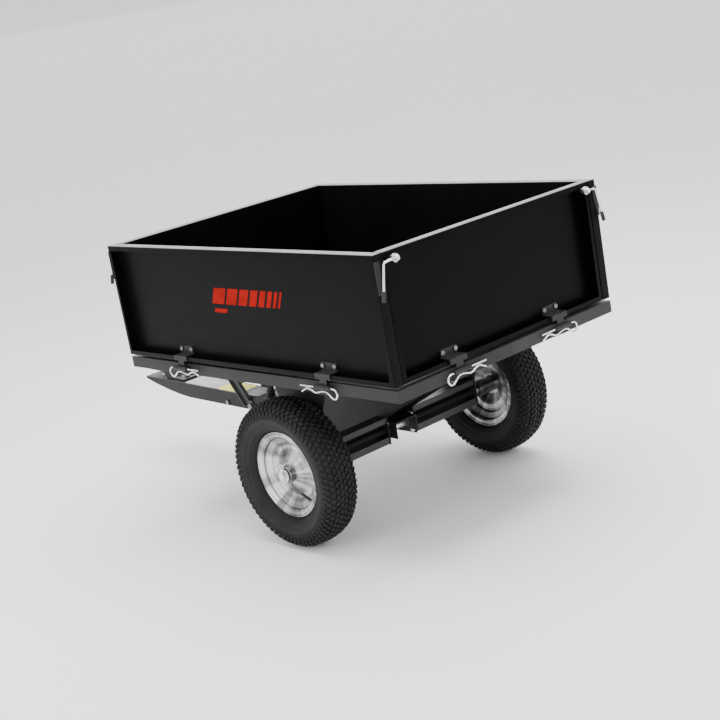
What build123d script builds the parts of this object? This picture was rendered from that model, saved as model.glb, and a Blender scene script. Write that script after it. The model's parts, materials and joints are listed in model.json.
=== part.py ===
from build123d import *
from math import cos, radians, sin, tan
import os

# Tow behind cart: a tipping steel bed with four drop panels on two pneumatic wheels.
# Millimetres. +X points to the rear panel, -X to the hitch, -Y is the left side, +Z is up.
# The wheels stand on Z = 0 with the bed level; the origin lies under the middle of the whole cart.

# ---- wheels and axle ----
TYRE_RADIUS = 203.0
TYRE_WIDTH = 112.0
TYRE_WALL = 7.0
TREAD_THICKNESS = 13.0
WHEEL_Y = 377.0                # middle plane of each wheel
RIM_FLANGE_RADIUS = 119.0
RIM_SEAT_RADIUS = 101.5
RIM_WELL_RADIUS = 84.0
RIM_WIDTH = 57.0
RIM_SHEET = 2.5
SEAT_WIDTH = 14.0              # bead seat, in from the flange
WEB_BOSS_RADIUS = 42.0
AXLE_RADIUS = 10.0
AXLE_TAIL = 15.0               # shaft beyond the hub
HUB_RADIUS = 23.0
HUB_BORE_RADIUS = 17.5
HUB_OUTER_REACH = 32.0         # from the wheel's middle plane
HUB_INNER_REACH = 48.0
BEARING_LENGTH = 24.0
BEARING_FLANGE = 3.0
RUNNING_CLEARANCE = 0.05
VALVE_RADIUS = 4.0
VALVE_LENGTH = 34.0
VALVE_INSET = 9.5              # in from the rim's outer face
VALVE_LEAN = 18.0              # degrees outwards
VALVE_ANGLE = 42.0             # degrees round the wheel, below the rear
COTTER_RADIUS = 2.0
COTTER_OVERHANG = 7.0
COTTER_EYE = 8.0
SPACER_WALL = 5.0
WASHER_THICKNESS = 3.0
WASHER_RADIUS = 19.0

# ---- bed ----
BED_LENGTH = 1130.0
BED_WIDTH = 800.0
BED_TOP = 479.0                # top face of the floor
BED_SHEET = 2.0
LIP_HEIGHT = 32.0
SEAM_FLANGE = 24.0
AXLE_OFFSET = 76.0             # axle behind the middle of the bed

# ---- drop panels ----
PANEL_END_INSET = 4.0          # side panels short of the floor's end lips
PANEL_OVERHANG = 6.0           # side panels outside the floor's side lips
PANEL_HEIGHT = 323.0
PANEL_LIFT = 7.0               # gap between the floor and the panels
PANEL_DEPTH = 30.0
PANEL_SHEET = 1.8
PANEL_RIM = 14.0               # width of the return rim around each panel
PANEL_GAP = 1.0                # between side and end panels

# ---- panel hinges ----
HINGE_STANDOFF = 8.0           # hinge axis outside the floor lip
HINGE_DROP = 11.0              # hinge axis below the top of the floor
KNUCKLE_RADIUS = 6.0
HINGE_WIDTH = 58.0
MIDDLE_KNUCKLE = 26.0
KNUCKLE_GAP = 0.5
LEAF_SHEET = 2.5
SIDE_HINGE_SPACING = 606.0
END_HINGE_SPACING = 380.0
CLIP_RADIUS = 2.5
CLIP_PIN_CLEARANCE = 0.08
CLIP_OUTBOARD = 40.0           # middle of the hinge to the clip's loop
CLIP_INBOARD = 84.0
PANEL_BOLT_SPACING = 45.0
PANEL_BOLT_RADIUS = 4.0
LEAF_BOLT_HEIGHT = 35.0        # above the floor

# ---- corner latches ----
STUD_INSET = 58.0              # latch stud in from the outside of the side panel
STUD_DROP = 19.0               # latch stud below the top of the panel
STUD_RADIUS = 4.0
BALL_RADIUS = 7.0
COLLAR_WALL = 3.0
ROD_RADIUS = 3.0
ROD_STANDOFF = 14.0            # rod centre outside the panel face
ROD_ARM = 38.0
ROD_HANDLE = 66.0
ROD_TILT = 12.0                # degrees that the handle leans outwards
GRIP_RADIUS = 5.0
GRIP_LENGTH = 26.0
CATCH_TOP_WIDTH = 16.0
CATCH_FOOT_WIDTH = 7.0
CATCH_HEIGHT = 80.0
CATCH_SHEET = 3.0

# ---- supports under the bed ----
GUSSET_SHEET = 4.0
DRAWBAR_SIDE_PLAY = 4.5        # between a bush flange and the inner gusset
WHEEL_GAP = 15.0               # between the tyre and the outer gusset
GUSSET_FOOT_HALF = 24.0
GUSSET_FOOT_DROP = 36.0
INNER_FOOT_FRONT = 262.0       # inner gusset's level lower edge, in front of the axle
INNER_SLOPE_REAR = 27.5        # degrees above horizontal
INNER_SLOPE_FRONT = 48.0
OUTER_SLOPE = 66.0
GUSSET_FLANGE = 26.0
BEAM_SHEET = 3.0
BEAM_BACK = 22.0               # rear face of the beam behind the axle
BEAM_DEPTH = 44.0
BEAM_RISE = 42.0
BEAM_FALL = 34.0
BEAM_UPPER_LIP = 16.0
BEAM_LOWER_LIP = 20.0
BEAM_BOLT_RADIUS = 5.0

# ---- drawbar ----
DRAWBAR_WIDTH = 82.0
DRAWBAR_HEIGHT = 46.5
DRAWBAR_SHEET = 3.0
DRAWBAR_OVER_AXLE = 26.0       # top face above the axle's centre
DRAWBAR_TAIL = 44.0            # behind the axle
DRAWBAR_REACH = 1168.0         # nose in front of the axle
DRAWBAR_TILT = 1.5             # degrees, rising to the nose
NOSE_TAPER = 232.0             # length over which the side flanges rise to the nose
NOSE_HEIGHT = 7.0
HITCH_HOLE_RADIUS = 8.5
HITCH_SETBACK = 40.0           # hole behind the nose
JAW_GAP = 22.0
JAW_SHEET = 6.0
JAW_WIDTH = 60.0
JAW_FOOT = 92.0
JAW_SETBACK = 202.0            # rear end of the jaw's foot behind the nose
JAW_TONGUE_OVERHANG = 24.0
JAW_BOLT_RADIUS = 8.0
JAW_BOLT_HEAD = 6.5
BUSH_WALL = 4.0
BUSH_FLANGE = 3.5

# ---- tip lever and bump stop ----
LEVER_PIVOT_X = -604.0         # from the axle
LEVER_PIVOT_DROP = 34.0        # below the drawbar's top face
LEVER_WIDTH = 30.0
LEVER_SHEET = 3.0
LEVER_FLANGE = 10.0
LEVER_LEAN = 38.0              # degrees forward of upright
LEVER_LENGTH = 196.0
LEVER_TAIL = 12.0              # arms below the pivot
LEVER_BRIDGE = 40.0            # cross plate above the drawbar
LEVER_SIDE_GAP = 0.6
LEVER_BOLT_RADIUS = 6.0
PEDAL_RADIUS = 8.0
PEDAL_LENGTH = 70.0
PEDAL_INSET = 14.0
ANCHOR_X = -727.0              # spring anchor bolt, from the axle
ANCHOR_RISE = 10.0             # above the lower edge of the side flange
STRIKER_RADIUS = 6.0
STRIKER_DROP = 66.0            # bar below the top of the floor
STRIKER_HALF = 52.0
STRIKER_EAR = 4.0
STRIKER_EAR_WIDTH = 34.0
BUMP_X = -548.0                # from the axle
BUMP_RADIUS = 11.0
BUMP_WASHER_RADIUS = 16.0
SEAT_GAP = 0.3                 # between pieces that meet without being fixed together

# ---- worked out from the values above ----
PANEL_LENGTH = BED_LENGTH - 2 * PANEL_END_INSET
PANEL_OVER_WIDTH = BED_WIDTH + 2 * PANEL_OVERHANG
HUB_OUTER_Y = WHEEL_Y + HUB_OUTER_REACH
HUB_INNER_Y = WHEEL_Y - HUB_INNER_REACH
AXLE_END = HUB_OUTER_Y + AXLE_TAIL
INNER_GUSSET_Y = DRAWBAR_WIDTH / 2 + BUSH_FLANGE + DRAWBAR_SIDE_PLAY
OUTER_GUSSET_Y = WHEEL_Y - TYRE_WIDTH / 2 - WHEEL_GAP
BALL_SEAT = ROD_STANDOFF + ROD_RADIUS + SEAT_GAP
BALL_CENTRE = BALL_SEAT + BALL_RADIUS * 0.6
BALL_FACE = BALL_CENTRE + BALL_RADIUS
REAR_REACH = PANEL_LENGTH / 2 + BALL_FACE
NOSE_DROP = DRAWBAR_OVER_AXLE - NOSE_HEIGHT
NOSE_REACH = DRAWBAR_REACH * cos(radians(DRAWBAR_TILT)) - NOSE_DROP * sin(radians(DRAWBAR_TILT))
FRONT_REACH = NOSE_REACH - AXLE_OFFSET
BED_X = (FRONT_REACH - REAR_REACH) / 2
AXLE_X = BED_X + AXLE_OFFSET
AXLE_Z = TYRE_RADIUS
LIP_BOTTOM = BED_TOP - LIP_HEIGHT
FLOOR_UNDERSIDE = BED_TOP - BED_SHEET
PANEL_BOTTOM = BED_TOP + PANEL_LIFT
PANEL_TOP = PANEL_BOTTOM + PANEL_HEIGHT
PANEL_OUTER_Y = PANEL_OVER_WIDTH / 2
PANEL_INNER_Y = PANEL_OUTER_Y - PANEL_DEPTH
END_PANEL_WIDTH = 2 * (PANEL_INNER_Y - PANEL_GAP)
HINGE_Z = BED_TOP - HINGE_DROP
STUD_Y = PANEL_OUTER_Y - STUD_INSET
STUD_Z = PANEL_TOP - STUD_DROP
RIM_OUTER_Y = WHEEL_Y + RIM_WIDTH / 2


def block(x0, x1, y0, y1, z0, z1):
    """A box between two corners."""
    size = (abs(x1 - x0), abs(y1 - y0), abs(z1 - z0))
    centre = ((x0 + x1) / 2, (y0 + y1) / 2, (z0 + z1) / 2)
    return Pos(*centre) * Box(*size)


def rod(start, end, radius):
    """A round bar between two points."""
    axis = Vector(*end) - Vector(*start)
    return Solid.make_cylinder(radius, axis.length, Plane(origin=start, z_dir=axis))


def plate_xz(points, y0, y1):
    """A flat plate whose outline lies in the XZ plane, between two Y values."""
    low, high = min(y0, y1), max(y0, y1)
    face = Plane.XZ.offset(-high) * make_face(Polyline(*points, close=True))
    return extrude(face, high - low)


def mirrored_y(shape):
    return mirror(shape, Plane.XZ)


def solids(*shapes):
    """One compound of separate solids."""
    found = []
    for shape in shapes:
        found.extend(shape.solids())
    return Compound(children=[Solid(item.wrapped) for item in found])


def bent_wire(points, bends, radius):
    """A round wire along straight runs joined by tangent arcs."""
    path = FilletPolyline(*points, radius=bends)
    start = Plane(origin=path @ 0, z_dir=path % 0)
    return sweep(start * Circle(radius), path=path)


PARTS = {}


# ---- running gear, drawn for the right wheel about the Y axis and moved into place ----

def turned(outline):
    """Revolve an outline of (distance from axle, Y) points around the axle."""
    face = make_face(Polyline(*[(x, y, 0) for x, y in outline], close=True))
    body = revolve(face, Axis.Y, 360)
    return Pos(AXLE_X, 0, AXLE_Z) * body


def tyre():
    """Hollow tyre: crown, bulged walls and two beads that sit on the rim."""
    half = TYRE_WIDTH / 2
    bead = RIM_WIDTH / 2 - RIM_SHEET - 0.4
    seat = RIM_SEAT_RADIUS + 0.3
    shoulder = TYRE_RADIUS - 12.0
    widest = (TYRE_RADIUS + RIM_FLANGE_RADIUS) / 2
    side = RIM_FLANGE_RADIUS + 5.0
    outer = [(seat, bead - 12), (seat, bead - 4.6), (seat + 4, bead), (RIM_FLANGE_RADIUS + 1, bead), (side, half - 18),
             (widest - 8, half), (widest + 10, half), (shoulder, half - 8),
             (TYRE_RADIUS - 3, half - 22), (TYRE_RADIUS, half - 34)]
    crown_inside = TYRE_RADIUS - TREAD_THICKNESS
    inner = [(crown_inside, half - 36), (crown_inside - 4, half - 22), (widest + 10, half - TYRE_WALL),
             (widest - 8, half - TYRE_WALL), (side + 4, half - 18 - TYRE_WALL),
             (RIM_FLANGE_RADIUS - 4, bead - 12)]
    far_outer = [(x, -y) for x, y in reversed(outer)]
    far_inner = [(x, -y) for x, y in reversed(inner)]
    return Pos(0, WHEEL_Y, 0) * turned(outer + far_outer + far_inner + inner)


def rim():
    """Pressed rim: a stepped band with two flanges, and a dished web that meets the hub tube."""
    half = RIM_WIDTH / 2
    seat_inner = RIM_SEAT_RADIUS - RIM_SHEET
    well_inner = RIM_WELL_RADIUS - RIM_SHEET
    outside = [(RIM_FLANGE_RADIUS, half), (RIM_FLANGE_RADIUS, half - RIM_SHEET),
               (RIM_SEAT_RADIUS + 4, half - RIM_SHEET), (RIM_SEAT_RADIUS, half - RIM_SHEET - 4),
               (RIM_SEAT_RADIUS, half - SEAT_WIDTH), (RIM_WELL_RADIUS, half - SEAT_WIDTH - 7)]
    inside = [(RIM_SEAT_RADIUS + 3, half), (seat_inner, half - RIM_SHEET - 2),
              (seat_inner, half - SEAT_WIDTH + 1), (well_inner, half - SEAT_WIDTH - 6)]
    band = outside + [(r, -y) for r, y in reversed(outside)] + [(r, -y) for r, y in inside] + inside[::-1]
    back = -RIM_SHEET
    web = [(well_inner + 1, 6), (well_inner + 1, back), (WEB_BOSS_RADIUS + 20, back), (WEB_BOSS_RADIUS, 10),
           (HUB_RADIUS + 8, 16), (HUB_RADIUS, 16), (HUB_RADIUS, 16 + RIM_SHEET), (HUB_RADIUS + 9, 16 + RIM_SHEET),
           (WEB_BOSS_RADIUS + 1, 10 + RIM_SHEET), (WEB_BOSS_RADIUS + 21, 0), (well_inner - 5, 0), (well_inner - 1, 6)]
    return Pos(0, WHEEL_Y, 0) * (turned(band) + turned(web))


def hub():
    """Steel hub tube welded into the web of the rim."""
    outline = [(HUB_BORE_RADIUS, HUB_INNER_Y), (HUB_RADIUS, HUB_INNER_Y), (HUB_RADIUS, HUB_OUTER_Y - 3),
               (HUB_RADIUS - 2, HUB_OUTER_Y), (HUB_BORE_RADIUS, HUB_OUTER_Y)]
    return turned(outline)


def bearing(end_y, direction):
    """Flanged bearing pressed into one end of the hub tube."""
    bore = AXLE_RADIUS + RUNNING_CLEARANCE
    inner_y = end_y - direction * BEARING_LENGTH
    face_y = end_y + direction * BEARING_FLANGE
    outline = [(bore, inner_y), (HUB_BORE_RADIUS, inner_y), (HUB_BORE_RADIUS, end_y), (HUB_RADIUS - 3, end_y),
               (HUB_RADIUS - 3, face_y), (bore, face_y)]
    return turned(outline)


def valve_stem():
    """Rubber valve on the bead seat, pointing at the hub and leaning outwards."""
    y = RIM_OUTER_Y - VALVE_INSET
    base_r = RIM_SEAT_RADIUS - RIM_SHEET / 2
    lean = radians(VALVE_LEAN)
    base = (AXLE_X + base_r, y, AXLE_Z)
    tip = (base[0] - VALVE_LENGTH * cos(lean), y + VALVE_LENGTH * sin(lean), AXLE_Z)
    stem = rod(base, tip, VALVE_RADIUS) - rim()
    outer_part = max(stem.solids(), key=lambda item: item.volume)
    return outer_part.rotate(Axis((AXLE_X, 0, AXLE_Z), (0, 1, 0)), VALVE_ANGLE)


def build_wheels():
    sides = {"left": mirrored_y, "right": lambda shape: shape}
    for side, place in sides.items():
        bearings = solids(place(bearing(HUB_OUTER_Y, 1)), place(bearing(HUB_INNER_Y, -1)))
        PARTS[f"{side}_tyre"] = place(tyre())
        PARTS[f"{side}_rim"] = place(rim())
        PARTS[f"{side}_hub"] = place(hub())
        PARTS[f"{side}_bearings"] = bearings
        PARTS[f"{side}_valve_stem"] = place(valve_stem())


def ring(inner, outer, y0, y1):
    return turned([(inner, y0), (outer, y0), (outer, y1), (inner, y1)])


def build_axle():
    """Shaft through both supports with spacers, washers and cotter pins at each wheel."""
    shaft = rod((AXLE_X, -AXLE_END, AXLE_Z), (AXLE_X, AXLE_END, AXLE_Z), AXLE_RADIUS)
    washer_y = HUB_OUTER_Y + BEARING_FLANGE + SEAT_GAP
    cotter_y = washer_y + WASHER_THICKNESS + COTTER_RADIUS + SEAT_GAP
    hole_radius = COTTER_RADIUS + SEAT_GAP
    reach = AXLE_RADIUS + COTTER_OVERHANG
    eye_z = AXLE_Z + reach + COTTER_EYE
    bore = AXLE_RADIUS + RUNNING_CLEARANCE
    washers, spacers, cotters = [], [], []
    for side in (-1, 1):
        y = side * cotter_y
        shaft -= rod((AXLE_X, y, AXLE_Z - reach), (AXLE_X, y, AXLE_Z + reach), hole_radius)
        washers.append(ring(bore, WASHER_RADIUS, side * washer_y, side * (washer_y + WASHER_THICKNESS)))
        inner = OUTER_GUSSET_Y
        outer = HUB_INNER_Y - BEARING_FLANGE - SEAT_GAP
        spacers.append(ring(bore, bore + SPACER_WALL, side * inner, side * outer))
        points = [(AXLE_X, y, AXLE_Z - reach), (AXLE_X, y, AXLE_Z + reach), (AXLE_X - COTTER_EYE, y, eye_z),
                  (AXLE_X, y, eye_z + COTTER_EYE), (AXLE_X + COTTER_EYE, y, eye_z),
                  (AXLE_X + COTTER_EYE / 2, y, AXLE_Z + reach)]
        cotters.append(bent_wire(points, [3.0, 3.0, 3.0, 3.0], COTTER_RADIUS))
    PARTS["axle_shaft"] = shaft
    PARTS["axle_washers"] = solids(*washers)
    PARTS["axle_spacers"] = solids(*spacers)
    PARTS["cotter_pins"] = solids(*cotters)


# ---- supports under the bed, drawn for the right side ----

def gusset_outline(foot_front, slope_front, slope_rear):
    """Side view of a gusset: upright behind the beam, then widening up to the floor."""
    foot = AXLE_Z - GUSSET_FOOT_DROP
    beam_top = AXLE_Z + BEAM_RISE
    front = (FLOOR_UNDERSIDE - AXLE_Z) / tan(radians(slope_front))
    rear = (FLOOR_UNDERSIDE - beam_top) / tan(radians(slope_rear))
    return [(AXLE_X - foot_front, foot), (AXLE_X + GUSSET_FOOT_HALF, foot),
            (AXLE_X + GUSSET_FOOT_HALF, beam_top), (AXLE_X + GUSSET_FOOT_HALF + rear, FLOOR_UNDERSIDE),
            (AXLE_X - foot_front - front, FLOOR_UNDERSIDE), (AXLE_X - foot_front, AXLE_Z)]


def gusset(face_y, turn, foot_front, slope_front, slope_rear):
    """Flat plate with a top flange turned under the floor; turn is the side the flange goes to."""
    outline = gusset_outline(foot_front, slope_front, slope_rear)
    plate = plate_xz(outline, face_y, face_y + turn * GUSSET_SHEET)
    left, right = outline[4][0], outline[3][0]
    margin = GUSSET_SHEET / tan(radians(min(slope_front, slope_rear))) + 1.0
    flange = block(left + margin, right - margin, face_y, face_y + turn * GUSSET_FLANGE,
                   FLOOR_UNDERSIDE - GUSSET_SHEET, FLOOR_UNDERSIDE)
    hole = rod((AXLE_X, 0, AXLE_Z), (AXLE_X, BED_WIDTH, AXLE_Z), AXLE_RADIUS + RUNNING_CLEARANCE)
    return plate + flange - hole


def beam():
    """Folded channel between the gussets, open to the rear with two lips."""
    y0 = INNER_GUSSET_Y + GUSSET_SHEET
    y1 = OUTER_GUSSET_Y - GUSSET_SHEET
    back = AXLE_X + BEAM_BACK
    front = back - BEAM_DEPTH
    top = AXLE_Z + BEAM_RISE
    bottom = AXLE_Z - BEAM_FALL
    web = block(front, front + BEAM_SHEET, y0, y1, bottom, top)
    upper = block(front, back, y0, y1, top - BEAM_SHEET, top)
    lower = block(front, back, y0, y1, bottom, bottom + BEAM_SHEET)
    upper_lip = block(back - BEAM_SHEET, back, y0, y1, top - BEAM_UPPER_LIP, top)
    lower_lip = block(back - BEAM_SHEET, back, y0, y1, bottom, bottom + BEAM_LOWER_LIP)
    return web + upper + lower + upper_lip + lower_lip


def support_bolts():
    """Bolts through the inner gussets into the beams, and through the outer gussets."""
    found = []
    heights = (AXLE_Z + BEAM_RISE - 20.0, AXLE_Z - BEAM_FALL + 9.0)
    for side in (-1, 1):
        for face, outward in ((INNER_GUSSET_Y, -1), (OUTER_GUSSET_Y, 1)):
            for z in heights:
                y = side * face
                x = AXLE_X + 14.0
                head = side * outward * 5.0
                head_radius = BEAM_BOLT_RADIUS + 3.0
                found.append(rod((x, y, z), (x, y + head, z), head_radius))
    return solids(*found)


def build_supports():
    sides = {"left": mirrored_y, "right": lambda shape: shape}
    inner = gusset(INNER_GUSSET_Y, 1, INNER_FOOT_FRONT, INNER_SLOPE_FRONT, INNER_SLOPE_REAR)
    outer = gusset(OUTER_GUSSET_Y, -1, GUSSET_FOOT_HALF, OUTER_SLOPE, OUTER_SLOPE)
    for side, place in sides.items():
        PARTS[f"{side}_inner_gusset"] = place(inner)
        PARTS[f"{side}_outer_gusset"] = place(outer)
        PARTS[f"{side}_axle_beam"] = place(beam())
    PARTS["support_bolts"] = support_bolts()


# ---- bed floor ----

def floor_half():
    """Right half of the floor pan: a sheet with lips on three sides and a flange at the seam."""
    x0, x1 = BED_X - BED_LENGTH / 2, BED_X + BED_LENGTH / 2
    y1 = BED_WIDTH / 2
    pan = block(x0, x1, 0, y1, FLOOR_UNDERSIDE, BED_TOP)
    side = block(x0, x1, y1 - BED_SHEET, y1, LIP_BOTTOM, BED_TOP)
    seam = block(x0 + BED_SHEET, x1 - BED_SHEET, 0, BED_SHEET, BED_TOP - SEAM_FLANGE, BED_TOP)
    for end in (x0, x1 - BED_SHEET):
        pan += block(end, end + BED_SHEET, 0, y1, LIP_BOTTOM, BED_TOP)
    return pan + side + seam


def seam_bolts():
    found = []
    for step in range(-2, 3):
        x = BED_X + step * BED_LENGTH / 5.5
        z = BED_TOP - SEAM_FLANGE / 2 - BED_SHEET / 2
        for side in (-1, 1):
            found.append(rod((x, side * BED_SHEET, z), (x, side * (BED_SHEET + 5.0), z), 6.5))
    return solids(*found)


def build_floor():
    PARTS["right_floor_pan"] = floor_half()
    PARTS["left_floor_pan"] = mirrored_y(floor_half())
    PARTS["seam_bolts"] = seam_bolts()


# ---- drop panels, drawn facing +X with the outer face at X = 0 and the middle at Y = 0 ----

def panel_tray(width):
    """Folded tray: a sheet at the inside, four walls and a return rim at the outside."""
    half = width / 2
    body = block(-PANEL_DEPTH, 0, -half, half, PANEL_BOTTOM, PANEL_TOP)
    inner = half - PANEL_SHEET
    rim_inner = half - PANEL_RIM
    hollow = block(-PANEL_DEPTH + PANEL_SHEET, -PANEL_SHEET, -inner, inner,
                   PANEL_BOTTOM + PANEL_SHEET, PANEL_TOP - PANEL_SHEET)
    mouth = block(-PANEL_DEPTH + PANEL_SHEET, 1, -rim_inner, rim_inner,
                  PANEL_BOTTOM + PANEL_RIM, PANEL_TOP - PANEL_RIM)
    return body - hollow - mouth


def hinge_axis_x(lip_x):
    return lip_x + HINGE_STANDOFF


def moving_leaf(lip_x, y):
    """Leaf on a panel: knuckle, a strap up over the rim, and a foot bolted to the sheet."""
    axis_x = hinge_axis_x(lip_x)
    strap_x = lip_x + SEAT_GAP
    half = MIDDLE_KNUCKLE / 2
    wide = HINGE_WIDTH / 2
    shelf = PANEL_BOTTOM + PANEL_RIM
    strap = block(strap_x, strap_x + LEAF_SHEET, y - half, y + half, HINGE_Z, shelf)
    barrel = rod((axis_x, y - half, HINGE_Z), (axis_x, y + half, HINGE_Z), KNUCKLE_RADIUS)
    bridge = block(strap_x, axis_x, y - half, y + half, HINGE_Z, HINGE_Z + LEAF_SHEET)
    cover = block(0, strap_x + LEAF_SHEET, y - wide, y + wide, PANEL_BOTTOM + 2.0, shelf + LEAF_SHEET)
    sheet_x = -PANEL_DEPTH + PANEL_SHEET
    shelf_plate = block(sheet_x, 0, y - wide, y + wide, shelf, shelf + LEAF_SHEET)
    foot = block(sheet_x, sheet_x + LEAF_SHEET, y - wide, y + wide, shelf, BED_TOP + LEAF_BOLT_HEIGHT + 9.0)
    bore = rod((axis_x, y - half - 1, HINGE_Z), (axis_x, y + half + 1, HINGE_Z), CLIP_RADIUS + CLIP_PIN_CLEARANCE)
    return strap + barrel + bridge + cover + shelf_plate + foot - bore


def fixed_leaf(lip_x, y):
    """Leaf on the floor lip: a plate below the axis and a knuckle at each end."""
    axis_x = hinge_axis_x(lip_x)
    inner = MIDDLE_KNUCKLE / 2 + KNUCKLE_GAP
    outer = HINGE_WIDTH / 2
    leaf = block(lip_x, lip_x + LEAF_SHEET, y - outer, y + outer, LIP_BOTTOM, HINGE_Z - KNUCKLE_RADIUS - 1.0)
    for side in (-1, 1):
        near, far = y + side * inner, y + side * outer
        leaf += block(lip_x, lip_x + LEAF_SHEET, near, far, LIP_BOTTOM, HINGE_Z + LEAF_SHEET)
        leaf += block(lip_x, axis_x, near, far, HINGE_Z - LEAF_SHEET, HINGE_Z + LEAF_SHEET)
        leaf += rod((axis_x, near, HINGE_Z), (axis_x, far, HINGE_Z), KNUCKLE_RADIUS)
    bore = rod((axis_x, y - outer - 1, HINGE_Z), (axis_x, y + outer + 1, HINGE_Z), CLIP_RADIUS + CLIP_PIN_CLEARANCE)
    return leaf - bore


def hinge_clip(lip_x, y):
    """Hairpin clip: the straight leg is the hinge pin, the waved leg hangs below it."""
    x = hinge_axis_x(lip_x)
    side = 1 if y > 0 else -1
    loop = y + side * CLIP_OUTBOARD
    tail = y - side * CLIP_INBOARD
    drop = 26.0
    points = [(x, tail, HINGE_Z), (x, loop, HINGE_Z), (x, loop + side * 10, HINGE_Z - drop / 2),
              (x, loop - side * 4, HINGE_Z - drop), (x, loop - side * 34, HINGE_Z - 9),
              (x, loop - side * 72, HINGE_Z - 13), (x, loop - side * 98, HINGE_Z - 5.6),
              (x, tail + side * 2, HINGE_Z - 12)]
    return bent_wire(points, [5.0, 7.0, 6.0, 12.0, 16.0, 9.0], CLIP_RADIUS)


def panel_bolts(y):
    """Two bolt heads on the leaf's foot."""
    x = -PANEL_DEPTH + PANEL_SHEET + LEAF_SHEET
    z = BED_TOP + LEAF_BOLT_HEIGHT
    found = []
    for side in (-1, 1):
        bolt_y = y + side * PANEL_BOLT_SPACING / 2
        found.append(rod((x, bolt_y, z), (x + 4.0, bolt_y, z), PANEL_BOLT_RADIUS + 2.5))
    return found


def latch_stud(side):
    """Stud with a ball head that carries a corner latch, on an end panel."""
    y = side * STUD_Y
    collar_face = ROD_STANDOFF - ROD_RADIUS - SEAT_GAP
    shank = rod((0, y, STUD_Z), (BALL_CENTRE, y, STUD_Z), STUD_RADIUS)
    collar = rod((0, y, STUD_Z), (collar_face, y, STUD_Z), STUD_RADIUS + COLLAR_WALL)
    ball = Pos(BALL_CENTRE, y, STUD_Z) * Sphere(BALL_RADIUS)
    back = 2 * BALL_RADIUS
    slab = block(BALL_SEAT - back, BALL_SEAT, y - back, y + back, STUD_Z - back, STUD_Z + back)
    return collar + (ball - slab) + shank


def latch_points(side):
    """Centre line of the lever: from the stud outwards, then down with a slight lean."""
    start = (ROD_STANDOFF, side * STUD_Y, STUD_Z)
    corner_y = side * (STUD_Y + ROD_ARM)
    corner = (ROD_STANDOFF, corner_y, STUD_Z - 3.0)
    lean = radians(ROD_TILT)
    foot = (ROD_STANDOFF, corner_y + side * ROD_HANDLE * sin(lean), corner[2] - ROD_HANDLE * cos(lean))
    tip = (ROD_STANDOFF, foot[1] + side * GRIP_LENGTH * sin(lean), foot[2] - GRIP_LENGTH * cos(lean))
    return start, corner, foot, tip


def latch_lever(side):
    """Bent rod with an eye that turns on the stud."""
    start, corner, foot, tip = latch_points(side)
    eye_inner = STUD_RADIUS + SEAT_GAP
    eye_outer = eye_inner + 2 * ROD_RADIUS
    eye = rod((start[0] - ROD_RADIUS, start[1], start[2]), (start[0] + ROD_RADIUS, start[1], start[2]), eye_outer)
    near = (start[0], start[1] + side * (eye_inner + ROD_RADIUS), start[2] - 0.3)
    wire = bent_wire([near, corner, tip], [9.0], ROD_RADIUS)
    bore = rod((start[0] - 10, start[1], start[2]), (start[0] + 10, start[1], start[2]), eye_inner)
    return eye + wire - bore


def latch_grip(side):
    """Rubber sleeve pulled over the end of the lever."""
    start, corner, foot, tip = latch_points(side)
    sleeve = rod(foot, tip, GRIP_RADIUS)
    core = rod(foot, tip, ROD_RADIUS)
    return sleeve - core


def catch_plate(side):
    """Tapered plate on the end of a side panel, behind the latch lever."""
    outer = side * (PANEL_OUTER_Y - 1.0)
    top = STUD_Z + 2.0
    face = make_face(Polyline((outer, top), (outer - side * CATCH_TOP_WIDTH, top),
                              (outer - side * CATCH_TOP_WIDTH, top - CATCH_HEIGHT * 0.35),
                              (outer - side * CATCH_FOOT_WIDTH, top - CATCH_HEIGHT),
                              (outer, top - CATCH_HEIGHT), close=True))
    return extrude(Plane.YZ * face, CATCH_SHEET)


def at_end(shape, end):
    """Move a shape drawn facing +X to the rear panel (1) or mirror it to the front panel (-1)."""
    placed = Pos(PANEL_LENGTH / 2, 0, 0) * shape
    if end < 0:
        placed = mirror(placed, Plane.YZ)
    return Pos(BED_X, 0, 0) * placed


def at_side(shape, side):
    """Turn a shape drawn facing +X to face the left (-1) or the right (1) side."""
    placed = Rot(0, 0, 90) * (Pos(PANEL_OUTER_Y, 0, 0) * shape)
    if side < 0:
        placed = mirror(placed, Plane.XZ)
    return Pos(BED_X, 0, 0) * placed


def build_panels():
    end_lip = (BED_LENGTH - PANEL_LENGTH) / 2
    side_lip = BED_WIDTH / 2 - PANEL_OUTER_Y
    fixed, clips = [], []
    layout = [("rear", at_end, 1, END_PANEL_WIDTH, end_lip, END_HINGE_SPACING),
              ("front", at_end, -1, END_PANEL_WIDTH, end_lip, END_HINGE_SPACING),
              ("right", at_side, 1, PANEL_LENGTH, side_lip, SIDE_HINGE_SPACING),
              ("left", at_side, -1, PANEL_LENGTH, side_lip, SIDE_HINGE_SPACING)]
    for name, place, direction, width, lip, spacing in layout:
        leaf_lip = max(lip, 0)
        leaves, bolts = [], []
        for half in (-1, 1):
            y = half * spacing / 2
            leaves.append(place(moving_leaf(leaf_lip, y), direction))
            bolts.extend([place(bolt, direction) for bolt in panel_bolts(y)])
            fixed.extend(place(fixed_leaf_on(lip, leaf_lip, y), direction).solids())
            clips.extend(place(hinge_clip(leaf_lip, y), direction).solids())
        PARTS[f"{name}_panel"] = place(panel_tray(width), direction)
        PARTS[f"{name}_panel_leaves"] = solids(*leaves)
        PARTS[f"{name}_panel_bolts"] = solids(*bolts)
    PARTS["fixed_hinge_leaves"] = solids(*fixed)
    PARTS["hinge_clips"] = solids(*clips)


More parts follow.
